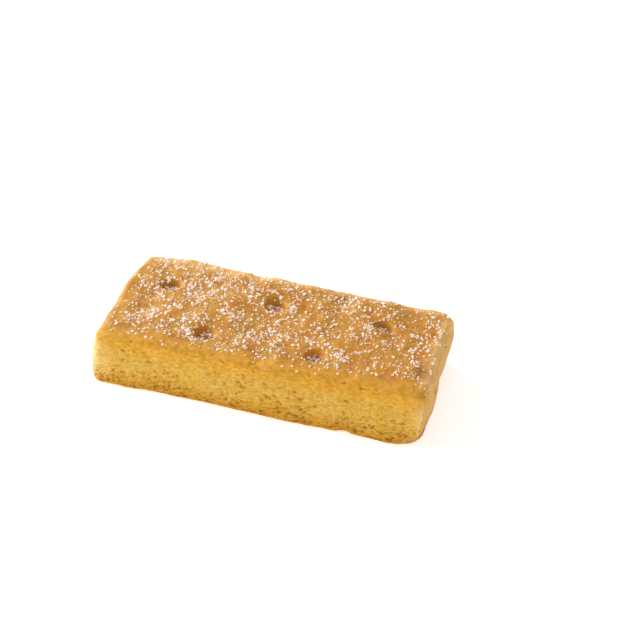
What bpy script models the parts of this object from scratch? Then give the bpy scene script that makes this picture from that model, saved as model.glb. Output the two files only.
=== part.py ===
"""Shortbread finger: one thick baked bar of short dough, docked in two staggered rows.

The bar lies along X and rests on its flat base at z = 0, with the origin at the
middle of the base. Its outline is a rounded rectangle, its upper edge a soft
shoulder, its cut sides swell a little at mid height, and its top rises and dips
as baked dough does. The dock holes are pressed into the top by tapered pins.
All sizes are in metres.
"""

import itertools
import math

import bmesh
import bpy
import numpy as np

# Driving dimensions of the bar
LENGTH = 0.080
WIDTH = 0.0366
THICKNESS = 0.0145

# Edges and faces of the bar
CORNER_RADII = (0.0015, 0.0042, 0.0022, 0.0026)     # upright corners, as RING_CORNERS lists them
SHOULDER_RADIUS = 0.0018        # soft upper edge of the crust
BASE_RADIUS = 0.0011            # worn lower edge
SIDE_BULGE = 0.0005             # how far the cut sides swell at mid height
END_LEAN = 0.0008               # how far the ends lean towards -X at the base
TOP_TWIST = 0.0006              # opposite corners of the top stand this much high or low
TOP_CROWN = 0.0003              # rise of the middle of the top

# Unevenness of the dough: (size of the lumps, height of the lumps)
TOP_LUMPS = ((0.011, 0.00040), (0.005, 0.00020))
SIDE_LUMPS = ((0.012, 0.00040), (0.005, 0.00025))
TOP_SEED = 11
SIDE_SEED = 5
LATTICE = 32                    # random values along each side of the lumps' lattice

# Wear of the edges: (x, y, z, reach, how far out), where the last value of a chip is negative
EDGE_WEAR = (
    (0.0400, -0.0183, 0.0000, 0.0045, -0.0012),     # corner worn off, front right
    (0.0320, -0.0183, 0.0005, 0.0080, 0.0009),      # dough spread a little beside it
    (0.0225, -0.0183, 0.0000, 0.0022, -0.0007),     # a crumb broken out of the front edge
    (0.0060, -0.0183, 0.0000, 0.0240, 0.0008),      # long soft spread of the front edge
    (0.0400, -0.0060, 0.0030, 0.0110, 0.0005),      # foot of the right end, spread a little
    (0.0400, -0.0080, 0.0135, 0.0140, 0.0006),      # rim of the right end, spread a little
    (-0.0400, 0.0183, 0.0130, 0.0150, -0.0012),     # back left corner, drawn in
)

# Dock holes: two rows of pin pricks, the front row set off by about half a pitch
DOCK_PITCH = 0.0268
DOCKS_PER_ROW = 3
DOCK_ROWS = ((0.0061, -0.0289), (-0.0100, -0.0148))     # (y of the row, x of its first prick)
DOCK_WIDTH = 0.0056
DOCK_TIP_WIDTH = 0.0036
DOCK_DEPTH = 0.0019
DOCK_FLARE = 1.8                # how fast a prick opens towards the top
END_PRICK_REACH = 0.0030        # pricks nearer an end than this come out shallow
PIN_ABOVE_TOP = 0.0015          # how far the cutting pin stands out of the dough
PIN_SIDES = 20
PIN_RINGS = 7

# Resolution of the faceted solid
POINTS_PER_LONG_SIDE = 40
POINTS_PER_END = 15
POINTS_PER_CORNER = 5
BASE_RINGS = 3
SIDE_RINGS = 6
SHOULDER_RINGS = 5
TOP_RINGS = 8
MERGE_DISTANCE = 0.00002

CRUST_COLOUR = (0.58, 0.30, 0.07, 1.0)
CRUST_ROUGHNESS = 0.60
NODE_NAME = "shortbread_finger"

# The four corners of a ring, in order, counter-clockwise from the front right
RING_CORNERS = ((1.0, -1.0), (1.0, 1.0), (-1.0, 1.0), (-1.0, -1.0))


def clear_scene():
    """Start from an empty scene."""
    for item in list(bpy.data.objects):
        bpy.data.objects.remove(item, do_unlink=True)


def lumps(points, kinds, seed):
    """Height of the lumps at each point, the sum over all kinds of (size, height).

    For each kind, random values from -1 to 1 fill space on a lattice one lump size apart,
    and a point blends the eight around it along the curve 3t^2 - 2t^3 on each axis.
    """
    lattice = np.random.RandomState(seed).uniform(-1.0, 1.0, (LATTICE,) * 3)
    total = np.zeros(points.shape[:-1])
    for size, height in kinds:
        cell = np.floor(points / size).astype(int)
        t = points / size - cell
        t = t * t * (3.0 - 2.0 * t)
        for corner in itertools.product((0, 1), repeat=3):
            i, j, k = np.moveaxis((cell + corner) % LATTICE, -1, 0)
            share = np.prod(np.where(corner, t, 1.0 - t), axis=-1)
            total += height * share * lattice[i, j, k]
    return total


def side_profile():
    """Inset and height of every ring, from the base edge up the side and in over the top.

    The base edge and the shoulder are quarter circles, the side between them swells
    by half a sine wave, and the top runs on inwards at full height to the middle line.
    """
    base = np.linspace(0.0, math.pi / 2.0, BASE_RINGS, endpoint=False)
    rise = np.linspace(0.0, 1.0, SIDE_RINGS, endpoint=False)
    shoulder = np.linspace(0.0, math.pi / 2.0, SHOULDER_RINGS, endpoint=False)
    inward = np.linspace(0.0, 1.0, TOP_RINGS)
    side_height = THICKNESS - BASE_RADIUS - SHOULDER_RADIUS
    inset = np.concatenate((
        BASE_RADIUS * (1.0 - np.sin(base)),
        -SIDE_BULGE * np.sin(math.pi * rise),
        SHOULDER_RADIUS * (1.0 - np.cos(shoulder)),
        SHOULDER_RADIUS + (WIDTH / 2.0 - SHOULDER_RADIUS) * inward,
    ))
    height = np.concatenate((
        BASE_RADIUS * (1.0 - np.cos(base)),
        BASE_RADIUS + side_height * rise,
        THICKNESS - SHOULDER_RADIUS * (1.0 - np.sin(shoulder)),
        np.full(TOP_RINGS, THICKNESS),
    ))
    return inset, height


def ring_pattern():
    """Where each point of a ring sits, the same for all rings.

    A point lies one corner radius out of a smaller rectangle: u and v, from -1 to 1,
    say where on that rectangle, and the angle says in which direction out of it. The
    radius changes steadily along a side, from one corner's to the next one's.
    """
    u, v, angle, radius = [], [], [], []
    for quarter in range(4):
        start = (*RING_CORNERS[quarter], CORNER_RADII[quarter])
        end = (*RING_CORNERS[(quarter + 1) % 4], CORNER_RADII[(quarter + 1) % 4])
        count = POINTS_PER_END if quarter % 2 == 0 else POINTS_PER_LONG_SIDE
        along = np.linspace(0.0, 1.0, count, endpoint=False)
        turn = np.linspace(0.0, 1.0, POINTS_PER_CORNER, endpoint=False)
        u += [start[0] + (end[0] - start[0]) * along, np.full(POINTS_PER_CORNER, end[0])]
        v += [start[1] + (end[1] - start[1]) * along, np.full(POINTS_PER_CORNER, end[1])]
        radius += [start[2] + (end[2] - start[2]) * along, np.full(POINTS_PER_CORNER, end[2])]
        angle += [np.full(count, quarter * math.pi / 2.0), (quarter + turn) * math.pi / 2.0]
    return [np.concatenate(values) for values in (u, v, angle, radius)]


def edge_wear(x, y, z):
    """How far each point moves outwards for the chips and bulges of the edges.

    Each fades from its middle to its reach along the curve (1 - t^2)^2.
    """
    total = np.zeros_like(x)
    for wear_x, wear_y, wear_z, reach, outward in EDGE_WEAR:
        away = ((x - wear_x) ** 2 + (y - wear_y) ** 2 + (z - wear_z) ** 2) / reach ** 2
        total += outward * np.clip(1.0 - away, 0.0, 1.0) ** 2
    return total


def bar_points():
    """Positions of all points of the bar, as an array of rings by points by (x, y, z)."""
    inset, height = side_profile()
    u, v, angle, radius = ring_pattern()
    inset = inset[:, np.newaxis]
    z = height[:, np.newaxis] + np.zeros_like(u)
    half_x = LENGTH / 2.0 - inset
    half_y = WIDTH / 2.0 - inset
    radius = radius * np.clip(half_y / (WIDTH / 2.0), 0.0, 1.0)
    x = (half_x - radius) * u + radius * np.cos(angle)
    y = (half_y - radius) * v + radius * np.sin(angle)

    # The sides wander in and out, less and less towards the middle of the top
    wander = lumps(np.stack((x, y, z), axis=-1), SIDE_LUMPS, SIDE_SEED)
    wander *= np.clip(half_y / (WIDTH / 2.0), 0.0, 1.0) ** 2
    wander += edge_wear(x, y, z)
    x += wander * np.cos(angle)
    y += wander * np.sin(angle)

    # The top is lumpy, crowned and twisted, and none of it reaches the base
    raised = (z / THICKNESS) ** 3
    across_x = 2.0 * x / LENGTH
    across_y = 2.0 * y / WIDTH
    z += raised * lumps(np.stack((x, y, np.zeros_like(z)), axis=-1), TOP_LUMPS, TOP_SEED)
    z -= raised * TOP_TWIST * across_x * across_y
    z += raised * TOP_CROWN * (1.0 - across_x ** 2) * (1.0 - across_y ** 2)
    x -= END_LEAN * (1.0 - z / THICKNESS)
    return centred(np.stack((x, y, z), axis=-1))


def centred(points):
    """Shift the points so that the middle of their box is over the origin."""
    middle = (points.min(axis=(0, 1)) + points.max(axis=(0, 1))) / 2.0
    middle[2] = 0.0
    return points - middle


def top_height(points, x, y):
    """Height of the bar's top at (x, y), taken from the nearest point of the top's rings."""
    top = points[-TOP_RINGS:].reshape(-1, 3)
    nearest = np.argmin(np.hypot(top[:, 0] - x, top[:, 1] - y))
    return top[nearest, 2]


def pin_points(depth):
    """Positions of a dock pin's rings about its own axis, from the tip at z = 0 upwards.

    The radius starts round at the tip and then grows with a power of the height, so that
    the prick it leaves is steep low down and flares open at the crust.
    """
    height = np.linspace(0.0, depth + PIN_ABOVE_TOP, PIN_RINGS)
    share = height / DOCK_DEPTH
    rounding = np.clip(height / (DOCK_TIP_WIDTH / 2.0), 0.0, 1.0)
    radius = DOCK_TIP_WIDTH / 2.0 * np.sqrt(1.0 - (1.0 - rounding) ** 2)
    radius += (DOCK_WIDTH - DOCK_TIP_WIDTH) / 2.0 * share ** DOCK_FLARE
    turn = np.linspace(0.0, 2.0 * math.pi, PIN_SIDES, endpoint=False)
    x = radius[:, np.newaxis] * np.cos(turn)
    y = radius[:, np.newaxis] * np.sin(turn)
    z = height[:, np.newaxis] + np.zeros(PIN_SIDES)
    return np.stack((x, y, z), axis=-1)


def closed_mesh(name, ring_stacks):
    """A closed mesh from stacks of rings: quads between rings, and a face over each open end.

    Rings that have shrunk to a line or a point close themselves when their points merge.
    """
    bm = bmesh.new()
    for stack in ring_stacks:
        rings = [[bm.verts.new(point) for point in ring] for ring in stack.tolist()]
        count = len(rings[0])
        for low, high in zip(rings, rings[1:]):
            for i in range(count):
                j = (i + 1) % count
                bm.faces.new((low[i], low[j], high[j], high[i]))
    bmesh.ops.remove_doubles(bm, verts=bm.verts, dist=MERGE_DISTANCE)
    open_edges = [edge for edge in bm.edges if edge.is_boundary]
    bmesh.ops.holes_fill(bm, edges=open_edges, sides=0)
    bmesh.ops.triangulate(bm, faces=bm.faces)
    bmesh.ops.recalc_face_normals(bm, faces=bm.faces)
    mesh = bpy.data.meshes.new(name)
    bm.to_mesh(mesh)
    bm.free()
    return mesh


def add_object(name, mesh):
    """Put a mesh into the scene under its name."""
    item = bpy.data.objects.new(name, mesh)
    bpy.context.scene.collection.objects.link(item)
    return item


def crust_material():
    """Baked shortbread crust: golden tan, with a soft satin surface."""
    material = bpy.data.materials.new("shortbread")
    material.use_nodes = True
    shader = material.node_tree.nodes["Principled BSDF"]
    shader.inputs["Base Color"].default_value = CRUST_COLOUR
    shader.inputs["Roughness"].default_value = CRUST_ROUGHNESS
    shader.inputs["Metallic"].default_value = 0.0
    return material


def make_bar(points):
    """The undocked bar: rings carried up the side profile and closed over base and top."""
    bar = add_object(NODE_NAME, closed_mesh(NODE_NAME, [points]))
    bar.data.materials.append(crust_material())
    bar.data.shade_smooth()
    return bar


def make_dock_pins(points):
    """All the pins in one cutter, each with its tip where its prick ends in the dough."""
    pins = []
    for row_y, first_x in DOCK_ROWS:
        for step in range(DOCKS_PER_ROW):
            x = first_x + step * DOCK_PITCH
            room = (LENGTH / 2.0 - abs(x)) / END_PRICK_REACH
            depth = DOCK_DEPTH * min(room, 1.0)
            tip = np.array((x, row_y, top_height(points, x, row_y) - depth))
            pins.append(pin_points(depth) + tip)
    cutter = add_object("dock_pins", closed_mesh("dock_pins", pins))
    cutter.hide_render = True
    cutter.display_type = 'WIRE'
    return cutter


def dock(bar, pins):
    """Cut the pricks out of the bar's top."""
    cut = bar.modifiers.new("dock holes", 'BOOLEAN')
    cut.operation = 'DIFFERENCE'
    cut.object = pins


def main():
    clear_scene()
    points = bar_points()
    bar = make_bar(points)
    pins = make_dock_pins(points)
    dock(bar, pins)


main()
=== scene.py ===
# %% [markdown]
# # A shortbread finger, sugared on top
# Shortbread is flour, butter and sugar, pressed into a slab, docked with pins so that
# steam gets out, cut into fingers and baked slowly. The top dries to a golden skin, the
# cut sides stay yellow and crumbly, and the base browns on the tray. This file dresses
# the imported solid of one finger: a fine skin worked out as a surface of two parameters,
# a scatter of real sugar crystals, some crumbs, and a pale studio.

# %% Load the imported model
import itertools
import math

import bmesh
import bpy
import numpy as np
from mathutils import Matrix, Vector


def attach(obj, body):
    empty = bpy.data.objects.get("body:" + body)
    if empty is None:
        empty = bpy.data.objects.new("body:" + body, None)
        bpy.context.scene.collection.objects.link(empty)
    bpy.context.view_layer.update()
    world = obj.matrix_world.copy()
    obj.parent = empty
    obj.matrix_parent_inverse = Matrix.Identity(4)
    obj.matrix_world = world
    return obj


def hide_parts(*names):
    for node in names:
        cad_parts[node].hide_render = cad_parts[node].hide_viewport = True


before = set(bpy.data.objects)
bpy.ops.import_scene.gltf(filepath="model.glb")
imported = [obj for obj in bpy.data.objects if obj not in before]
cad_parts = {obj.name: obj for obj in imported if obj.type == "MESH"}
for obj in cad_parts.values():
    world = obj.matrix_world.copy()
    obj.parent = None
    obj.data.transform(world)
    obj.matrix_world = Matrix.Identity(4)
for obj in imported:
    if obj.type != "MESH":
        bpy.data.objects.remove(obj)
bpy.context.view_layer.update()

NODE = "shortbread_finger"

# %% [markdown]
# ## Small helpers
# Colours are written as the hex values a screen shows, and the renderer works with
# linear light, so one function turns one into the other. One more adds a shader node
# with its settings and links, and one turns arrays of points and faces into an object.


# %% Colours, nodes and meshes
def linear(hex_colour):
    """Linear RGBA of an sRGB hex colour: a straight line near black, a power curve above."""
    values = np.array([int(hex_colour[i:i + 2], 16) / 255.0 for i in (1, 3, 5)])
    curve = np.where(values <= 0.04045, values / 12.92, ((values + 0.055) / 1.055) ** 2.4)
    return (*curve.tolist(), 1.0)


def add_node(tree, kind, *values):
    """The output of a new shader node, given what goes into it in order.

    A kind is the node's type, its settings, its inputs and its output. A value is a number,
    a colour's hex value, or the output of another node, which is linked.
    """
    node_type, settings, inputs, output = kind
    node = tree.nodes.new(node_type)
    for name, setting in settings.items():
        setattr(node, name, setting)
    for name, value in zip(inputs, values):
        if isinstance(value, bpy.types.NodeSocket):
            tree.links.new(value, node.inputs[name])
        else:
            node.inputs[name].default_value = linear(value) if isinstance(value, str) else value
    return node.outputs[output]


def object_from(name, points, faces, smooth=True):
    """An object at the origin whose mesh has these points (n by 3) and faces (m by 3 or 4)."""
    mesh = bpy.data.meshes.new(name)
    mesh.from_pydata(points.tolist(), [], faces.tolist())
    if smooth:
        mesh.shade_smooth()
    mesh.update()
    item = bpy.data.objects.new(name, mesh)
    bpy.context.scene.collection.objects.link(item)
    return item


def ease(value, start, end):
    """0 below start and 1 above end, and between them the smooth curve 3t^2 - 2t^3."""
    t = np.clip((value - start) / (end - start), 0.0, 1.0)
    return t * t * (3.0 - 2.0 * t)


print("golden crust in linear light:", [round(value, 3) for value in linear("#D4973C")])

# %% [markdown]
# ## Uneven dough
# Baked dough is never smooth. Two kinds of noise give its unevenness, and both work on
# whole arrays of points. Lumps are soft hills, for the rise and fall of the surface.
# Crumbs are cells around scattered centres, for the broken grain of the cut sides.

# %% Noise in space
LATTICE = 32                      # random values along each side of a noise's lattice


def lumps(points, kinds, seed):
    """Height of the lumps at each point, the sum over all kinds of (size, height).

    For each kind, random values from -1 to 1 fill space on a lattice one lump size apart,
    and a point blends the eight around it along the curve 3t^2 - 2t^3 on each axis.
    """
    lattice = np.random.RandomState(seed).uniform(-1.0, 1.0, (LATTICE,) * 3)
    total = np.zeros(points.shape[:-1])
    for size, height in kinds:
        cell = np.floor(points / size).astype(int)
        t = points / size - cell
        t = t * t * (3.0 - 2.0 * t)
        for corner in itertools.product((0, 1), repeat=3):
            i, j, k = np.moveaxis((cell + corner) % LATTICE, -1, 0)
            share = np.prod(np.where(corner, t, 1.0 - t), axis=-1)
            total += height * share * lattice[i, j, k]
    return total


def crumbs(points, size, seed):
    """Distance from each point to its nearest crumb centre, in crumb sizes.

    Each cell of a lattice one crumb apart holds one centre at a random place, so the
    nearest centre is looked for in the 27 cells around the point.
    """
    centres = np.random.RandomState(seed).uniform(0.0, 1.0, (LATTICE,) * 3 + (3,))
    scaled = points / size
    cell = np.floor(scaled).astype(int)
    nearest = np.full(points.shape[:-1], np.inf)
    for step in itertools.product((-1, 0, 1), repeat=3):
        there = cell + step
        i, j, k = np.moveaxis(there % LATTICE, -1, 0)
        distance = np.linalg.norm(there + centres[i, j, k] - scaled, axis=-1)
        nearest = np.minimum(nearest, distance)
    return nearest


print("lattice values per noise:", LATTICE ** 3)

# %% [markdown]
# ## The shape of the finger
# The finger could be sculpted, or cut from a cube. Here it is a surface of two
# parameters: one runs round the finger's outline, the other runs from the middle of the
# base out to its edge, up the side, over the shoulder and in to the middle of the top.
# That is one closed sheet with no seam at a corner, and every detail can be added to it
# as a function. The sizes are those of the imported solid.

# %% Sizes of the finger
LENGTH = 0.080
WIDTH = 0.0366
THICKNESS = 0.0145
CORNER_RADII = (0.0015, 0.0042, 0.0022, 0.0026)
SHOULDER_RADIUS = 0.0018
BASE_RADIUS = 0.0011
SIDE_BULGE = 0.0005
END_LEAN = 0.0008
TOP_TWIST = 0.0006
TOP_CROWN = 0.0003
TOP_LUMPS = ((0.011, 0.00040), (0.005, 0.00020))
SIDE_LUMPS = ((0.012, 0.00040), (0.005, 0.00025))
TOP_SEED = 11
SIDE_SEED = 5
EDGE_WEAR = (                     # x, y, z, reach and how far out, where a chip is negative
    (0.0400, -0.0183, 0.0000, 0.0045, -0.0012),     # corner worn off, front right
    (0.0320, -0.0183, 0.0005, 0.0080, 0.0009),      # dough spread a little beside it
    (0.0225, -0.0183, 0.0000, 0.0022, -0.0007),     # a crumb broken out of the front edge
    (0.0060, -0.0183, 0.0000, 0.0240, 0.0008),      # long soft spread of the front edge
    (0.0400, -0.0060, 0.0030, 0.0110, 0.0005),      # foot of the right end, spread a little
    (0.0400, -0.0080, 0.0135, 0.0140, 0.0006),      # rim of the right end, spread a little
    (-0.0400, 0.0183, 0.0130, 0.0150, -0.0012),     # back left corner, drawn in
)

DOCK_PITCH = 0.0268
DOCKS_PER_ROW = 3
DOCK_ROWS = ((0.0061, -0.0289), (-0.0100, -0.0148))     # y of the row, x of its first prick
DOCK_WIDTH = 0.0056
DOCK_TIP_WIDTH = 0.0036
DOCK_DEPTH = 0.0019
END_PRICK_REACH = 0.0030          # pricks nearer an end than this come out shallow

# %% Points of the sheet
STEP = 0.00031                    # spacing of the points, fine enough for a crumb
CORNER_STEPS = 18                 # steps of a side that its two corners take up
POINTS_PER_LONG_SIDE = round(LENGTH / STEP) - CORNER_STEPS
POINTS_PER_END = round(WIDTH / STEP) - CORNER_STEPS
POINTS_PER_CORNER = 16
UNDERSIDE_RINGS = 10
BASE_RINGS = 6
SIDE_RINGS = 44
SHOULDER_RINGS = 14
TOP_RINGS = 48
RING_CORNERS = ((1.0, -1.0), (1.0, 1.0), (-1.0, 1.0), (-1.0, -1.0))
print("points along a long side and an end:", POINTS_PER_LONG_SIDE, POINTS_PER_END)


# %% Rings round the finger
def side_profile():
    """Inset and height of every ring, from the middle of the base to the middle of the top.

    The base and the top are level, the base edge and the shoulder are quarter circles,
    and the side between them swells by half a sine wave.
    """
    under = np.linspace(WIDTH / 2.0, BASE_RADIUS, UNDERSIDE_RINGS, endpoint=False)
    base = np.linspace(0.0, math.pi / 2.0, BASE_RINGS, endpoint=False)
    rise = np.linspace(0.0, 1.0, SIDE_RINGS, endpoint=False)
    shoulder = np.linspace(0.0, math.pi / 2.0, SHOULDER_RINGS, endpoint=False)
    inward = np.linspace(0.0, 1.0, TOP_RINGS)
    side_height = THICKNESS - BASE_RADIUS - SHOULDER_RADIUS
    inset = np.concatenate((
        under,
        BASE_RADIUS * (1.0 - np.sin(base)),
        -SIDE_BULGE * np.sin(math.pi * rise),
        SHOULDER_RADIUS * (1.0 - np.cos(shoulder)),
        SHOULDER_RADIUS + (WIDTH / 2.0 - SHOULDER_RADIUS) * inward,
    ))
    height = np.concatenate((
        np.zeros(UNDERSIDE_RINGS),
        BASE_RADIUS * (1.0 - np.cos(base)),
        BASE_RADIUS + side_height * rise,
        THICKNESS - SHOULDER_RADIUS * (1.0 - np.sin(shoulder)),
        np.full(TOP_RINGS, THICKNESS),
    ))
    return inset, height


def ring_pattern():
    """Where each point of a ring sits, the same for all rings.

    A point lies one corner radius out of a smaller rectangle: u and v, from -1 to 1,
    say where on that rectangle, and the angle says in which direction out of it.
    """
    u, v, angle, radius = [], [], [], []
    for quarter in range(4):
        start = (*RING_CORNERS[quarter], CORNER_RADII[quarter])
        end = (*RING_CORNERS[(quarter + 1) % 4], CORNER_RADII[(quarter + 1) % 4])
        count = POINTS_PER_END if quarter % 2 == 0 else POINTS_PER_LONG_SIDE
        along = np.linspace(0.0, 1.0, count, endpoint=False)
        turn = np.linspace(0.0, 1.0, POINTS_PER_CORNER, endpoint=False)
        u += [start[0] + (end[0] - start[0]) * along, np.full(POINTS_PER_CORNER, end[0])]
        v += [start[1] + (end[1] - start[1]) * along, np.full(POINTS_PER_CORNER, end[1])]
        radius += [start[2] + (end[2] - start[2]) * along, np.full(POINTS_PER_CORNER, end[2])]
        angle += [np.full(count, quarter * math.pi / 2.0), (quarter + turn) * math.pi / 2.0]
    return [np.concatenate(values) for values in (u, v, angle, radius)]


def edge_wear(x, y, z):
    """How far each point moves outwards for the chips and bulges of the edges.

    Each fades from its middle to its reach along the curve (1 - t^2)^2.
    """
    total = np.zeros_like(x)
    for wear_x, wear_y, wear_z, reach, outward in EDGE_WEAR:
        away = ((x - wear_x) ** 2 + (y - wear_y) ** 2 + (z - wear_z) ** 2) / reach ** 2
        total += outward * np.clip(1.0 - away, 0.0, 1.0) ** 2
    return total


def plain_finger():
    """The undocked finger as rings by points by (x, y, z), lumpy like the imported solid."""
    inset, height = side_profile()
    u, v, angle, radius = ring_pattern()
    inset = inset[:, np.newaxis]
    z = height[:, np.newaxis] + np.zeros_like(u)
    half_x = LENGTH / 2.0 - inset
    half_y = WIDTH / 2.0 - inset
    radius = radius * np.clip(half_y / (WIDTH / 2.0), 0.0, 1.0)
    x = (half_x - radius) * u + radius * np.cos(angle)
    y = (half_y - radius) * v + radius * np.sin(angle)
    wander = lumps(np.stack((x, y, z), axis=-1), SIDE_LUMPS, SIDE_SEED)
    wander *= np.clip(half_y / (WIDTH / 2.0), 0.0, 1.0) ** 2
    wander += edge_wear(x, y, z)
    x += wander * np.cos(angle)
    y += wander * np.sin(angle)
    raised = (z / THICKNESS) ** 3
    across_x = 2.0 * x / LENGTH
    across_y = 2.0 * y / WIDTH
    z += raised * lumps(np.stack((x, y, np.zeros_like(z)), axis=-1), TOP_LUMPS, TOP_SEED)
    z -= raised * TOP_TWIST * across_x * across_y
    z += raised * TOP_CROWN * (1.0 - across_x ** 2) * (1.0 - across_y ** 2)
    x -= END_LEAN * (1.0 - z / THICKNESS)
    points = np.stack((x, y, z), axis=-1)
    middle = (points.min(axis=(0, 1)) + points.max(axis=(0, 1))) / 2.0
    return points - middle * (1.0, 1.0, 0.0)


finger = plain_finger()
print("rings and points per ring:", finger.shape[:2])


# %% [markdown]
# ## Surface detail
# The skin of the top has soft dents and faint wrinkles. The cut sides are broken dough,
# with rounded crumbs and flat pits where butter melted out, most of them low down. A
# bump texture alone would look painted on from the side, so each of these moves the
# surface along its own normal and is real shape. Only cracks finer than the points of
# the mesh are left to the material.

# %% Normals of a sheet of rings
def sheet_normals(points):
    """Unit normals of a closed sheet of rings: the cross product of its two tangents.

    The first and last ring have no width, so theirs are set straight down and straight up.
    """
    around = np.roll(points, -1, axis=1) - np.roll(points, 1, axis=1)
    across = np.gradient(points, axis=0)
    normal = np.cross(around, across)
    normal /= np.maximum(np.linalg.norm(normal, axis=-1, keepdims=True), 1e-12)
    normal[0] = (0.0, 0.0, -1.0)
    normal[-1] = (0.0, 0.0, 1.0)
    return normal


normals = sheet_normals(finger)
print("top normals point up:", bool(normals[-10, :, 2].mean() > 0.9))

# %% Where the crust ends
CRUST_FACING = (0.62, 1.02)       # how far up the surface faces where crust begins and is full
CRUST_WRAP = 0.42                 # and how much less at the back and the ends, where it runs over
CRUST_RAGGED = ((0.004, 0.20), (0.0014, 0.15), (0.0007, 0.14))
CRUST_LOWEST = (0.0085, 0.0105)   # there is none below the first height, and all above the second
FRONT_FACING = (0.15, 0.70)       # how far to the front a place faces to count as cut front
BASE_FADE = 0.0006                # the crumb's relief fades out this close to the base

height = finger[..., 2]
frontness = ease(-normals[..., 1], *FRONT_FACING)
facing = normals[..., 2] + CRUST_WRAP * (1.0 - frontness) + lumps(finger, CRUST_RAGGED, 23)
crust = ease(facing, *CRUST_FACING) * ease(height, *CRUST_LOWEST)
cut = (1.0 - crust) * ease(height, 0.0, BASE_FADE)
print("share of the points under crust:", round(float((crust > 0.5).mean()), 3))

# %% Crumb of the cut sides
PIT_KINDS = ((0.0010, 0.8), (0.0006, 0.8))
PIT_WARP = ((0.0012, 0.0006),)    # bends the pits out of their round shape
PIT_SQUASH = (1.05, 1.05, 2.0)    # pits lie flat, because the dough was pressed down
PIT_LEVEL = 0.42                  # noise above this level is a pit, at the base
PIT_LEVEL_RISE = 0.36             # how much higher the level is at the top of the side
PIT_ZONE = (0.001, 0.010)         # heights between which it rises
PIT_PATCHES = ((0.005, 0.14),)
PIT_WALL = 0.16                   # rise of the noise from a pit's edge to its floor
PIT_DEPTH = 0.00034
GRAIN_SIZE = 0.0010
GRAIN_HEIGHT = 0.00008
CUT_LUMPS = ((0.0032, 0.00016), (0.0014, 0.00009))

warp = np.stack([lumps(finger, PIT_WARP, seed) for seed in (31, 32, 33)], axis=-1)
warped = (finger + warp) * PIT_SQUASH
level = PIT_LEVEL + PIT_LEVEL_RISE * ease(height, *PIT_ZONE) + lumps(finger, PIT_PATCHES, 42)
hollow = cut * ease(lumps(warped, PIT_KINDS, 41), level, level + PIT_WALL)
near_grain = crumbs(finger, GRAIN_SIZE, 45)
relief = cut * (lumps(finger, CUT_LUMPS, 46) + GRAIN_HEIGHT * (0.5 - near_grain ** 2))
relief -= PIT_DEPTH * hollow
print("share of the points in pits:", round(float((hollow > 0.5).mean()), 3))

# %% Skin of the top
SKIN_LUMPS = ((0.0045, 0.00028), (0.0021, 0.00017), (0.0010, 0.00006))
WRINKLES = ((0.0045, 2.2),)       # a wrinkle runs wherever this noise passes through nought
WRINKLE_HEIGHT = 0.00010

folds = np.clip(1.0 - np.abs(lumps(warped, WRINKLES, 51)), 0.0, 1.0)
relief += crust * (lumps(finger, SKIN_LUMPS, 52) + WRINKLE_HEIGHT * folds ** 2)
detailed = finger + normals * relief[..., np.newaxis]

# %% [markdown]
# ## Dock holes
# A pin leaves a prick with a round floor and a wall that opens towards the top, and the
# dough closes a little round it in the oven. Cutting holes with a Boolean would leave
# sharp rims, so the top is pressed down instead: each prick lowers the points around it
# by a curve of their distance from its middle.

# %% Press the dock holes
RIM_UNEVEN = ((0.0022, 0.16),)    # how far a hole's outline strays, as a share of its radius
FUNNEL_WIDTH = 0.0095             # the dip that the pin's plate leaves round each hole
FUNNEL_DEPTH = 0.00040
FUNNEL_SHIFT = (-0.0007, 0.0006)  # the pins went in a little slanted
PRESSED_FROM = (0.008, 0.0115)    # nothing moves below the first height


def dock_places():
    """Middle and depth of every prick: two staggered rows, shallow close to an end."""
    places = []
    for row_y, first_x in DOCK_ROWS:
        for step in range(DOCKS_PER_ROW):
            x = first_x + step * DOCK_PITCH
            room = min((LENGTH / 2.0 - abs(x)) / END_PRICK_REACH, 1.0)
            places.append((x, row_y, DOCK_DEPTH * room))
    return places


def press_docks(points):
    """Lower the top round each prick; returns the points and how deep in a prick each is.

    Within the floor's radius the drop is the full depth, and from there to the rim it
    fades along the curve 3t^2 - 2t^3. A wide shallow dip runs out past the rim.
    """
    inside = np.zeros(points.shape[:-1])
    lowered = points.copy()
    movable = ease(points[..., 2], *PRESSED_FROM)
    stray = 1.0 + lumps(points, RIM_UNEVEN, 61)
    for x, y, depth in dock_places():
        distance = np.hypot(points[..., 0] - x, points[..., 1] - y) * stray
        share = movable * (1.0 - ease(distance, DOCK_TIP_WIDTH / 2.0, DOCK_WIDTH / 2.0))
        aside = np.hypot(points[..., 0] - x - FUNNEL_SHIFT[0], points[..., 1] - y - FUNNEL_SHIFT[1])
        dip = movable * (1.0 - ease(aside, 0.0, FUNNEL_WIDTH / 2.0))
        lowered[..., 2] -= FUNNEL_DEPTH * dip + (depth - FUNNEL_DEPTH) * share
        inside = np.maximum(inside, share * depth / DOCK_DEPTH)
    return lowered, inside


detailed, dock = press_docks(detailed)

# %% [markdown]
# ## Zones of colour and painted light
# Heat reaches a biscuit unevenly, and the knife cuts through its skin. The skin is amber
# where it meets the cut front, and the ends baked a little. Light is painted into the
# colour too: a painted highlight along the back and right edges, painted light on the left
# end, a painted highlight down the right front corner, and the right end's tan painted
# lighter as painted light. Such zones could be painted by hand, but they follow simple
# distances from the edges, so each is worked out for every point as a number from 0 to 1.

# %% Painted rim highlight and amber edge
RIM_HIGHLIGHT_REACH = (0.0006, 0.0066)       # distance from the back and right edges: palest, and no paler
RIM_HIGHLIGHT_HEIGHT = (0.002, 0.010)
RIM_NARROWS = (0.6, -0.020, 0.010)      # the rim is this share narrower from the first x to the second
RIM_RIGHT_NARROWER = 1.7
AMBER_WAVER = ((0.006, 0.0012), (0.0022, 0.0007))
AMBER_TOP = (0.0014, 0.0056)      # the crust is amber this near its cut front edge
AMBER_SIDE = (0.0092, 0.0132)     # and the cut side above this height
AMBER_SIDE_WAVER = 0.6

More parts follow.
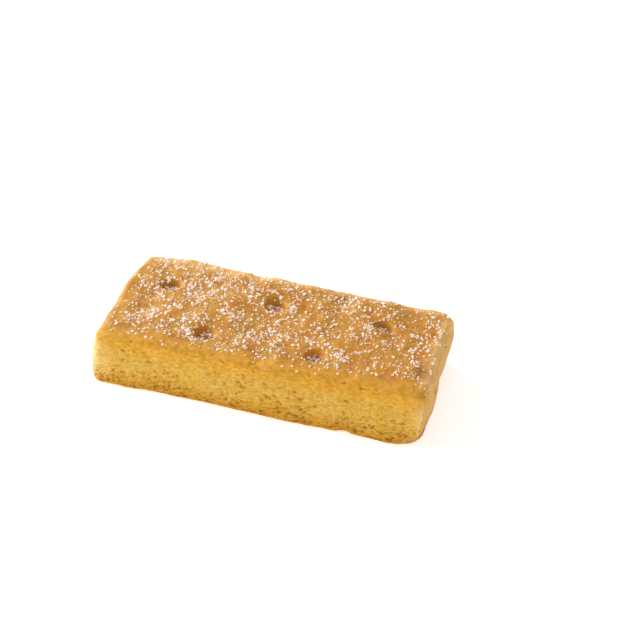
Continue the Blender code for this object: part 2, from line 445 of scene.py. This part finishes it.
from_back = WIDTH / 2.0 - detailed[..., 1]
from_right = LENGTH / 2.0 - detailed[..., 0]
narrower = 1.0 + RIM_NARROWS[0] * ease(detailed[..., 0], *RIM_NARROWS[1:])
# Painted highlight: the back and right edges are painted paler near the top, where light catches the
# rim.
near_rim_highlight = 1.0 - ease(np.minimum(from_back * narrower, from_right * RIM_RIGHT_NARROWER), *RIM_HIGHLIGHT_REACH)
rim = near_rim_highlight * ease(detailed[..., 2], *RIM_HIGHLIGHT_HEIGHT)
waver = lumps(finger, AMBER_WAVER, 81)
from_front = detailed[..., 1] + WIDTH / 2.0 + waver
amber_side = ease(detailed[..., 2] + AMBER_SIDE_WAVER * waver, *AMBER_SIDE)
amber = (1.0 - ease(from_front, *AMBER_TOP)) * amber_side
print("share of the points that are amber:", round(float((amber > 0.5).mean()), 3))

# %% Baked ends, and painted light on the left end and a corner
facing_x = normals[..., 0]
# Tan where the ends baked; on the right end it is painted lighter, as painted light.
baked_end_and_light = ease(facing_x, 0.65, 0.90) + ease(-facing_x, 0.80, 0.97)
# Painted highlight down the rounded right front corner, where the surface turns to face right.
corner_highlight = ease(facing_x, 0.20, 0.50) * (1.0 - ease(facing_x, 0.60, 0.85))
# Painted light: the left end, which faces the lamps, and the dough next to it are painted paler.
left_end_light = 0.45 * ease(-facing_x, 0.0, 0.6) + 0.35 * (1.0 - ease(finger[..., 0], -0.040, -0.033))
pale = left_end_light + 0.6 * corner_highlight
print("palest point:", round(float(pale.max()), 2))

# %% [markdown]
# ## The finger's mesh
# The sheet of rings becomes a mesh by joining each point to the next one round and the
# next ring up. At the middle of the base and of the top a ring has no width left, so its
# two sides meet and their points are merged. What the material has to know is stored on
# the points: how much is crust, how hollow the place is, how deep in a dock hole, and the
# zones of colour.

# %% Faces and stored numbers
def ring_faces(rings, count):
    """Four-cornered faces between neighbouring rings, turned so that they face outwards."""
    index = np.arange(rings * count).reshape(rings, count)
    low, high = index[:-1], index[1:]
    faces = (low, np.roll(low, -1, axis=1), np.roll(high, -1, axis=1), high)
    return np.stack(faces, axis=-1).reshape(-1, 4)


def store(item, name, values):
    """Keep one number per point on the mesh, for the material to read."""
    layer = item.data.attributes.new(name, 'FLOAT', 'POINT')
    layer.data.foreach_set("value", values.astype(np.float32).ravel())


rings, count = detailed.shape[:2]
biscuit = object_from("shortbread", detailed.reshape(-1, 3), ring_faces(rings, count))
stored = {"crust": crust, "hollow": hollow, "dock": dock, "rim": rim, "amber": amber,
          "baked_end_and_light": baked_end_and_light, "pale": pale}
for name, values in stored.items():
    store(biscuit, name, values)
print("numbers stored on each point:", list(stored))

# %% Close the sheet
WELD_DISTANCE = 0.00003

welded = bmesh.new()
welded.from_mesh(biscuit.data)
bmesh.ops.remove_doubles(welded, verts=welded.verts, dist=WELD_DISTANCE)
loose = [edge for edge in welded.edges if edge.is_boundary]
bmesh.ops.holes_fill(welded, edges=loose, sides=0)
welded.to_mesh(biscuit.data)
print("open edges left:", sum(edge.is_boundary for edge in welded.edges))
welded.free()
biscuit.data.shade_smooth()
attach(biscuit, "root")
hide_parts(NODE)
print("faces of the finger:", len(biscuit.data.polygons))

# %% [markdown]
# ## Baked shortbread
# The same dough has three faces. The top has dried and browned to a satin tan skin, the
# cut sides are matte yellow crumb, and the base has toasted on the tray. Three materials
# would meet in hard lines, so one material blends the three by the numbers stored on the
# points. Its patterns read object coordinates, and their widths are real sizes in metres.
# Light goes a little way into the fat crumb before it comes back, which warms its
# shadows, so the material scatters light under the surface.

# %% Kinds of node
# Each is a type, its settings, its inputs and its output, by name, or by number where a
# node has several of the same name
POSITION = ("ShaderNodeTexCoord", {}, (), "Object")
X_PART = ("ShaderNodeSeparateXYZ", {}, ("Vector",), "X")
Z_PART = ("ShaderNodeSeparateXYZ", {}, ("Vector",), "Z")
SCALED = ("ShaderNodeMapping", {}, ("Vector", "Scale"), "Vector")
NOISE = ("ShaderNodeTexNoise", {}, ("Vector", "Scale", "Detail", "Roughness"), "Fac")
BUMP = ("ShaderNodeBump", {}, ("Strength", "Distance", "Height"), "Normal")

# From one range of values to another, held inside the second, which is 0 to 1 if not given
RANGE = ("ShaderNodeMapRange", {"clamp": True},
         ("Value", "From Min", "From Max", "To Min", "To Max"), "Result")

# Two colours or two numbers, mixed by a share of the second, which comes first
BLEND = ("ShaderNodeMix", {"data_type": 'RGBA'}, (0, 6, 7), 2)
BETWEEN = ("ShaderNodeMix", {"data_type": 'FLOAT'}, (0, 2, 3), 0)

# Sums on one or two numbers
PRODUCT = ("ShaderNodeMath", {"operation": 'MULTIPLY'}, (0, 1), 0)
DIFFERENCE = ("ShaderNodeMath", {"operation": 'SUBTRACT'}, (0, 1), 0)
LARGER = ("ShaderNodeMath", {"operation": 'MAXIMUM'}, (0, 1), 0)
ABSOLUTE = ("ShaderNodeMath", {"operation": 'ABSOLUTE'}, (0,), 0)
print("a mix of two colours takes its inputs", BLEND[2], "and gives its output", BLEND[3])

# %% Gaps and cracks between the crumbs
GAP_WIDTH = 0.0006
CRACK_SPACING = 0.0030
CRACKED_PATCH = 0.0045


def crevices(tree, place, flat, height):
    """Share of gap or crack at a place.

    A gap is where a fine noise falls below a level that sinks towards the top. A crack
    runs where a wider noise passes through its middle value, in some patches only.
    """
    level = add_node(tree, RANGE, height, 0.0015, 0.0115, 0.440, 0.350)
    fine = add_node(tree, NOISE, flat, 1.0 / GAP_WIDTH, 3.0, 0.55)
    gap = add_node(tree, RANGE, add_node(tree, DIFFERENCE, level, fine), -0.002, 0.010)
    wide = add_node(tree, NOISE, flat, 1.0 / CRACK_SPACING, 2.5, 0.55)
    from_middle = add_node(tree, ABSOLUTE, add_node(tree, DIFFERENCE, wide, 0.5))
    line = add_node(tree, RANGE, from_middle, 0.004, 0.016, 1.0, 0.0)
    broad = add_node(tree, NOISE, place, 1.0 / CRACKED_PATCH, 1.0, 0.55)
    crack = add_node(tree, PRODUCT, line, add_node(tree, RANGE, broad, 0.55, 0.62))
    return add_node(tree, LARGER, gap, add_node(tree, PRODUCT, crack, 0.7))


# %% Colours of crumb and skin
BROWNED_PATCH = 0.0045


def crumb_colour(tree, grain, patch, rim, pale, baked_end_and_light):
    """Pale grains in deeper yellow, painted light at the rim, left end and a corner, tan at the ends.
    """
    crumb = add_node(tree, BLEND, add_node(tree, RANGE, grain, 0.38, 0.62), "#D09A26", "#E1BC62")
    crumb = add_node(tree, BLEND, add_node(tree, RANGE, patch, 0.40, 0.65, 0.0, 0.4), crumb, "#DDAC38")
    crumb = add_node(tree, BLEND, add_node(tree, PRODUCT, rim, 0.50), crumb, "#F2CA7C")
    crumb = add_node(tree, BLEND, pale, crumb, "#F2D896")
    # The ends' baked tan, painted lighter than baked dough as painted light on the right end
    return add_node(tree, BLEND, add_node(tree, PRODUCT, baked_end_and_light, 0.80), crumb, "#E4B064")


def skin_colour(tree, place, along, patch, freckle, rim):
    """Tan skin, browner in patches and to the right, pale freckles, a painted highlight at the rim."""
    browned = add_node(tree, NOISE, place, 1.0 / BROWNED_PATCH, 4.0, 0.55)
    skin = add_node(tree, BLEND, add_node(tree, RANGE, browned, 0.36, 0.64), "#C0761A", "#D4973C")
    skin = add_node(tree, BLEND, add_node(tree, RANGE, patch, 0.44, 0.64, 0.0, 0.40), skin, "#CE9F38")
    skin = add_node(tree, BLEND, add_node(tree, RANGE, along, 0.000, 0.036, 0.0, 0.40), skin, "#C87C24")
    skin = add_node(tree, BLEND, add_node(tree, RANGE, freckle, 0.42, 0.68, 0.0, 0.50), skin, "#DEA852")
    return add_node(tree, BLEND, add_node(tree, PRODUCT, rim, 0.92), skin, "#FFCA7C")


# %% Toasted base
TOAST_HEIGHTS = (-0.0004, 0.0050)       # full toast at the first, none at the second
TOAST_RAGGED_SIZE = 0.0025
TOAST_RAGGED_HEIGHT = 0.0016


def toasted(tree, place, height):
    """Share of toast at a place: full at the base, fading out at a ragged height."""
    ragged = add_node(tree, NOISE, place, 1.0 / TOAST_RAGGED_SIZE, 3.0, 0.55)
    ragged = add_node(tree, PRODUCT, ragged, TOAST_RAGGED_HEIGHT)
    return add_node(tree, RANGE, add_node(tree, DIFFERENCE, height, ragged), *TOAST_HEIGHTS, 1.0, 0.0)


# %% Shortbread material
PRESSED_FLAT = (1.0, 1.0, 1.8)    # the crumb's pattern lies flat, as the dough was pressed
GRAIN_WIDTH = 0.0011
PATCH_WIDTH = 0.0050
FRECKLE_WIDTH = 0.0012
GRIT_WIDTH = 0.00035
GRIT_HEIGHT = 0.00018


def finish_dough(tree, shader, place, crust, freckle, crevice):
    """Satin skin and dull crumb, light that scatters inside, and grit too fine for the mesh."""
    satin = add_node(tree, RANGE, freckle, 0.3, 0.7, 0.45, 0.60)
    tree.links.new(add_node(tree, BETWEEN, crust, 0.80, satin), shader.inputs["Roughness"])
    shader.inputs["IOR"].default_value = 1.45
    shader.inputs["Specular IOR Level"].default_value = 0.22
    shader.inputs["Subsurface Weight"].default_value = 0.18
    shader.inputs["Subsurface Radius"].default_value = (1.0, 0.55, 0.20)
    shader.inputs["Subsurface Scale"].default_value = 0.0006
    grit = add_node(tree, NOISE, place, 1.0 / GRIT_WIDTH, 4.0, 0.6)
    broken = add_node(tree, DIFFERENCE, add_node(tree, PRODUCT, grit, 0.35), crevice)
    bumped = add_node(tree, BUMP, 0.55, GRIT_HEIGHT, broken)
    tree.links.new(bumped, shader.inputs["Normal"])


def baked_shortbread():
    """Golden skin, yellow crumb and toasted base in one material."""
    material = bpy.data.materials.new("baked_shortbread")
    material.use_nodes = True
    tree = material.node_tree
    shader = tree.nodes["Principled BSDF"]
    place = add_node(tree, POSITION)
    along, height = add_node(tree, X_PART, place), add_node(tree, Z_PART, place)
    crust, hollow, dock, rim, amber, baked_end_and_light, pale = (
        add_node(tree, ("ShaderNodeAttribute", {"attribute_name": name}, (), "Fac"))
        for name in stored
    )
    flat = add_node(tree, SCALED, place, PRESSED_FLAT)
    grain = add_node(tree, NOISE, flat, 1.0 / GRAIN_WIDTH, 3.0, 0.55)
    patch = add_node(tree, NOISE, place, 1.0 / PATCH_WIDTH, 2.0, 0.55)
    freckle = add_node(tree, NOISE, place, 1.0 / FRECKLE_WIDTH, 5.0, 0.6)
    toast = toasted(tree, place, height)

    # Skin over crumb, amber where the skin meets the cut front, toast at the base
    side = crumb_colour(tree, grain, patch, rim, pale, baked_end_and_light)
    skin = skin_colour(tree, place, along, patch, freckle, rim)
    colour = add_node(tree, BLEND, crust, side, skin)
    glaze = add_node(tree, BLEND, add_node(tree, RANGE, grain, 0.35, 0.65), "#D8921A", "#E8B044")
    colour = add_node(tree, BLEND, add_node(tree, PRODUCT, amber, 0.80), colour, glaze)
    colour = add_node(tree, BLEND, add_node(tree, PRODUCT, toast, 0.80), colour, "#C4880C")

    # Painted shade: darker colour in the pits, the gaps and cracks of the bare crumb, and the dock
    # holes
    deep = add_node(tree, BLEND, toast, "#CC8204", "#945402")
    bare = add_node(tree, DIFFERENCE, 1.0, crust)
    crevice = add_node(tree, PRODUCT, crevices(tree, place, flat, height), bare)
    hollow_shade_share = add_node(tree, LARGER, hollow, add_node(tree, PRODUCT, crevice, 0.9))
    colour = add_node(tree, BLEND, add_node(tree, PRODUCT, hollow_shade_share, 0.80), colour, deep)
    colour = add_node(tree, BLEND, add_node(tree, RANGE, dock, 0.30, 0.85, 0.0, 0.9), colour, "#C4800E")
    colour = add_node(tree, BLEND, add_node(tree, RANGE, dock, 0.85, 1.0, 0.0, 0.7), colour, "#9A6428")
    tree.links.new(colour, shader.inputs["Base Color"])
    finish_dough(tree, shader, place, crust, freckle, crevice)
    return material


biscuit.data.materials.clear()
biscuit.data.materials.append(baked_shortbread())
print("shader nodes:", len(biscuit.data.materials[0].node_tree.nodes))

# %% [markdown]
# ## Sugar
# Granulated sugar is blocky crystals with worn edges, here 0.1 to 0.6 mm across. They
# could be painted on, but real grains throw small shadows and glint one by one. Each is
# a box with cut edges and corners, pushed out of shape a little. Six such shapes are
# copied by array arithmetic over the top, turned and sized at random, thick where the
# sugar has drifted together and in the dock holes, thin towards the edges.

# %% Crystal shapes
CRYSTAL_SHAPES = 6
EDGE_CUT = 0.86                   # how much of a box's reach is left beside its cut edges
CRYSTAL_JITTER = 0.12             # how far a point is pushed, where half the box is 1


def crystal_shape(dice):
    """Points and triangles of one crystal about 2 across: the hull of a box with cut edges.

    Each corner of the box gives three points, every one at full reach along one axis and
    drawn in along the other two.
    """
    corners = np.array(list(itertools.product((-1.0, 1.0), repeat=3)))
    reach = EDGE_CUT + (1.0 - EDGE_CUT) * np.eye(3)
    points = (corners[:, np.newaxis] * reach).reshape(-1, 3)
    points += dice.uniform(-CRYSTAL_JITTER, CRYSTAL_JITTER, points.shape)
    hull = bmesh.new()
    for point in points:
        hull.verts.new(point)
    bmesh.ops.convex_hull(hull, input=hull.verts)
    bmesh.ops.triangulate(hull, faces=hull.faces)
    bmesh.ops.recalc_face_normals(hull, faces=hull.faces)
    hull.verts.index_update()
    solid = np.array([vert.co[:] for vert in hull.verts])
    faces = np.array([[vert.index for vert in face.verts] for face in hull.faces])
    hull.free()
    return solid, faces


dice = np.random.RandomState(7)
crystal_shapes = [crystal_shape(dice) for _ in range(CRYSTAL_SHAPES)]
print("triangles per crystal:", [len(faces) for _, faces in crystal_shapes])


# %% Scatter by area
def scatter(points, weight, number, dice):
    """Random places on a sheet of rings, and the normals there.

    A face is drawn with a chance of its area times its weight, and the place on it is the
    blend of its corners by two random shares.
    """
    corners = (points[:-1], np.roll(points, -1, axis=1)[:-1],
               np.roll(points, -1, axis=1)[1:], points[1:])
    cross = np.cross(corners[2] - corners[0], corners[3] - corners[1])
    area = np.linalg.norm(cross, axis=-1)
    chance = (area * weight[:-1]).ravel()
    picked = dice.choice(chance.size, number, p=chance / chance.sum())
    s, t = dice.uniform(0.0, 1.0, (2, number, 1))
    a, b, c, d = (corner.reshape(-1, 3)[picked] for corner in corners)
    place = (a * (1 - s) + b * s) * (1 - t) + (d * (1 - s) + c * s) * t
    normal = (cross / np.maximum(area, 1e-15)[..., np.newaxis]).reshape(-1, 3)[picked]
    return place, normal


def turns(number, dice):
    """Random rotations as matrices, from four normal numbers scaled to a unit quaternion."""
    quaternions = dice.normal(size=(4, number))
    w, x, y, z = quaternions / np.linalg.norm(quaternions, axis=0)
    return np.stack((
        np.stack((1 - 2 * (y * y + z * z), 2 * (x * y - w * z), 2 * (x * z + w * y)), axis=-1),
        np.stack((2 * (x * y + w * z), 1 - 2 * (x * x + z * z), 2 * (y * z - w * x)), axis=-1),
        np.stack((2 * (x * z - w * y), 2 * (y * z + w * x), 1 - 2 * (x * x + y * y)), axis=-1),
    ), axis=-2)


def copies(shapes, places, sizes, dice):
    """One joined mesh with a turned, sized copy at each place.

    Returns its points, its faces, and for each point the number of the place it belongs to.
    """
    all_points, all_faces, whose, start = [], [], [], 0
    kind = np.arange(len(places)) % len(shapes)
    for number, (shape, faces) in enumerate(shapes):
        here = kind == number
        turned = np.einsum("nij,npj->npi", turns(here.sum(), dice),
                           shape[np.newaxis] * sizes[here][:, np.newaxis])
        points = turned + places[here][:, np.newaxis]
        first = start + np.arange(len(points)) * len(shape)
        all_points.append(points.reshape(-1, 3))
        all_faces.append((faces[np.newaxis] + first[:, np.newaxis, np.newaxis]).reshape(-1, 3))
        whose.append(np.repeat(np.flatnonzero(here), len(shape)))
        start += points.shape[0] * points.shape[1]
    return np.concatenate(all_points), np.concatenate(all_faces), np.concatenate(whose)


# %% Sugar over the top
TOP_GRAINS = 3800
BED_GRAINS = 400                  # in the dock holes, where sugar gathers
GRAIN_HALF_SIZE = 0.00014         # the middle size, before the spread
GRAIN_SPREAD = 0.42               # standard deviation of the sizes' natural logarithm
GRAIN_STRETCH = (0.60, 1.40)      # each side of a grain differs by this much
GRAIN_LIMITS = (0.00006, 0.00028)
GRAIN_LIFT = (-0.6, 0.3)          # how far a grain stands off the crust, in half sizes
BED_HEAP = 0.00015
BED_SHADE = 0.55                  # sugar deep in a hole is painted darker brown, a painted shade
BACK_SUGAR = (0.0002, 0.0022)     # distance from the back and the right where it begins and is full
LEFT_SUGAR = (0.0010, 0.0050)     # from the left
FRONT_SUGAR = (0.0014, 0.0075)    # and from the front
THIN_RIGHT = 0.40                 # share of the sugar missing towards the right end
DRIFTS = ((0.0060, 0.5), (0.0022, 0.6), (0.0010, 0.4))
BARE_DRIFT = 0.22                 # sugar that lies even where none has drifted
STRAY_SUGAR = 0.02                # and that lies anywhere on the crust

drift = lumps(detailed, DRIFTS, 71)
spread = ease(from_back, *BACK_SUGAR) * ease(from_right, *BACK_SUGAR)
spread *= ease(LENGTH / 2.0 + detailed[..., 0], *LEFT_SUGAR) * ease(from_front, *FRONT_SUGAR)
spread *= 1.0 - THIN_RIGHT * ease(detailed[..., 0], -0.015, 0.035)
lying = ease(sheet_normals(detailed)[..., 2], 0.50, 0.80)
top_weight = crust * (spread * (BARE_DRIFT + ease(drift, -0.3, 0.9)) + STRAY_SUGAR)
top_weight *= lying * (1.0 - ease(dock, 0.2, 0.6))
bed_weight = lying * ease(dock, 0.75, 0.95)
print("share of the points that sugar can lie on:", round(float((top_weight > 0.1).mean()), 3))

# %% Sugar crystals
top_places, top_facing = scatter(detailed, top_weight, TOP_GRAINS, dice)
bed_places, bed_facing = scatter(detailed, bed_weight, BED_GRAINS, dice)
bed_places[:, 2] += dice.uniform(0.0, BED_HEAP, BED_GRAINS)
places = np.concatenate((top_places, bed_places))
facing = np.concatenate((top_facing, bed_facing))
grains = len(places)
sizes = GRAIN_HALF_SIZE * np.exp(dice.normal(0.0, GRAIN_SPREAD, (grains, 1)))
sizes = np.clip(sizes * dice.uniform(*GRAIN_STRETCH, (grains, 3)), *GRAIN_LIMITS)
places += facing * sizes.mean(axis=1, keepdims=True) * dice.uniform(*GRAIN_LIFT, (grains, 1))
clear = dice.uniform(0.0, 1.0, grains)
clear[TOP_GRAINS:] += BED_SHADE
points, faces, whose = copies(crystal_shapes, places, sizes, dice)
sugar = object_from("sugar_crystals", points, faces, smooth=False)
store(sugar, "clear", clear[whose])
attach(sugar, "root")
print("sugar crystals:", grains, "triangles:", len(sugar.data.polygons))


# %% Sugar material
def granulated_sugar():
    """Clear crystals, frosted by scratches: most bright white, some clear enough to take colour."""
    material = bpy.data.materials.new("granulated_sugar")
    material.use_nodes = True
    tree = material.node_tree
    shader = tree.nodes["Principled BSDF"]
    clear = add_node(tree, ("ShaderNodeAttribute", {"attribute_name": "clear"}, (), "Fac"))
    colour = add_node(tree, BLEND, add_node(tree, RANGE, clear, 0.40, 1.0), "#FFF8F2", "#E4BE98")
    # Grains deep in the dock holes are painted dark brown: painted shade of the holes.
    colour = add_node(tree, BLEND, add_node(tree, RANGE, clear, 1.0, 1.5), colour, "#8E5622")
    tree.links.new(colour, shader.inputs["Base Color"])
    shader.inputs["Roughness"].default_value = 0.18
    shader.inputs["IOR"].default_value = 1.54
    shader.inputs["Transmission Weight"].default_value = 0.20
    # A faint glow is painted light: it keeps the grains' shaded sides bright, as light passing through
    # them would.
    shader.inputs["Emission Color"].default_value = linear("#FFF2EA")
    shader.inputs["Emission Strength"].default_value = 0.17
    return material


sugar.data.materials.append(granulated_sugar())
print("sugar material ready")

# %% [markdown]
# ## Loose crumbs
# Cutting leaves a few crumbs of pale dough on top, most of them near the cut edge. They
# could be scattered with the sugar, but they don't glint, so they are a piece of their
# own: the same worn boxes, a little larger and quite dull. A faint glow stands for the
# light that soaks through such small pieces.

# %% Loose crumbs
LOOSE_CRUMBS = 45
CRUMB_HALF_SIZE = (0.00010, 0.00030)

crumb_weight = crust * (0.2 + (1.0 - ease(from_front, 0.002, 0.008)))
crumb_places, crumb_facing = scatter(detailed, crumb_weight, LOOSE_CRUMBS, dice)
crumb_sizes = dice.uniform(*CRUMB_HALF_SIZE, (LOOSE_CRUMBS, 3))
crumb_places += crumb_facing * crumb_sizes.min(axis=1, keepdims=True) * 0.5
points, faces, _ = copies(crystal_shapes, crumb_places, crumb_sizes, dice)
loose_crumbs = object_from("loose_crumbs", points, faces, smooth=False)


def pale_crumb():
    """Dull pale dough."""
    material = bpy.data.materials.new("pale_crumb")
    material.use_nodes = True
    shader = material.node_tree.nodes["Principled BSDF"]
    shader.inputs["Base Color"].default_value = linear("#EFCF8C")
    shader.inputs["Roughness"].default_value = 0.8
    shader.inputs["Emission Color"].default_value = linear("#EFCF8C")
    shader.inputs["Emission Strength"].default_value = 0.15
    return material


loose_crumbs.data.materials.append(pale_crumb())
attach(loose_crumbs, "root")
print("loose crumbs:", LOOSE_CRUMBS, "triangles:", len(loose_crumbs.data.polygons))

# %% [markdown]
# ## Floor, light and camera
# Food is usually shown on a pale ground in soft light: a broad bright window behind on
# the left, a smaller one beside it, a weak one in front, and light from all round that
# keeps the shadows open. The floor glows a little, like a light table, so that the
# shadow on it stays pale.

# %% Floor
FLOOR_SIDE = 3.0
FLOOR_GAP = 0.00005               # the floor lies this far below the base, so that they don't flicker
FLOOR_GLOW = 0.56

bpy.ops.mesh.primitive_plane_add(size=FLOOR_SIDE, location=(0.0, 0.0, -FLOOR_GAP))
floor = bpy.context.object
floor.name = "floor"
white = bpy.data.materials.new("pale_floor")
white.use_nodes = True
white_shader = white.node_tree.nodes["Principled BSDF"]
white_shader.inputs["Base Color"].default_value = linear("#F6F6F6")
white_shader.inputs["Roughness"].default_value = 0.9
white_shader.inputs["Emission Color"].default_value = linear("#FFFFFF")
white_shader.inputs["Emission Strength"].default_value = FLOOR_GLOW
floor.data.materials.append(white)
print("floor side in m:", FLOOR_SIDE)


# %% Lights
def window(name, place, side, power):
    """A square area light that faces the biscuit, with its side in metres and its power in watts."""
    light = bpy.data.lights.new(name, 'AREA')
    light.size = side
    light.energy = power
    lamp = bpy.data.objects.new(name, light)
    lamp.location = place
    lamp.rotation_euler = (-Vector(place)).to_track_quat('-Z', 'Y').to_euler()
    bpy.context.scene.collection.objects.link(lamp)


window("window_back_left", (-0.70, 0.35, 0.42), 0.6, 7.0)
window("window_left", (-0.75, -0.22, 0.30), 0.4, 2.9)
window("window_front", (0.25, -0.70, 0.50), 0.7, 0.8)

# %% Light from all round
ROOM_LIGHT = 0.44

world = bpy.data.worlds.new("studio")
world.use_nodes = True
background = world.node_tree.nodes["Background"]
background.inputs["Color"].default_value = (1.0, 1.0, 1.0, 1.0)
background.inputs["Strength"].default_value = ROOM_LIGHT
bpy.context.scene.world = world
bpy.context.scene.view_settings.view_transform = 'Standard'
print("light from all round:", ROOM_LIGHT)

# %% Camera
CAMERA_AZIMUTH = math.radians(13.61)
CAMERA_ELEVATION = math.radians(35.54)
CAMERA_ROLL = math.radians(3.0)
CAMERA_DISTANCE = 0.4161
CAMERA_AIM = Vector((0.00465, 0.0236, 0.0))
CAMERA_LENS = 91.9                # mm, on a sensor 36 mm wide
away = Vector((
    math.sin(CAMERA_AZIMUTH) * math.cos(CAMERA_ELEVATION),
    -math.cos(CAMERA_AZIMUTH) * math.cos(CAMERA_ELEVATION),
    math.sin(CAMERA_ELEVATION),
))
camera_data = bpy.data.cameras.new("camera")
camera_data.lens = CAMERA_LENS
camera_data.clip_start = 0.01
camera = bpy.data.objects.new("camera", camera_data)
level = away.to_track_quat('Z', 'Y').to_matrix().to_4x4()
camera.matrix_world = (Matrix.Translation(CAMERA_AIM + away * CAMERA_DISTANCE)
                       @ level @ Matrix.Rotation(CAMERA_ROLL, 4, 'Z'))
bpy.context.scene.collection.objects.link(camera)
bpy.context.scene.camera = camera
print("camera height in m:", round(camera.location.z, 3))

# %% Update the scene
bpy.context.view_layer.update()
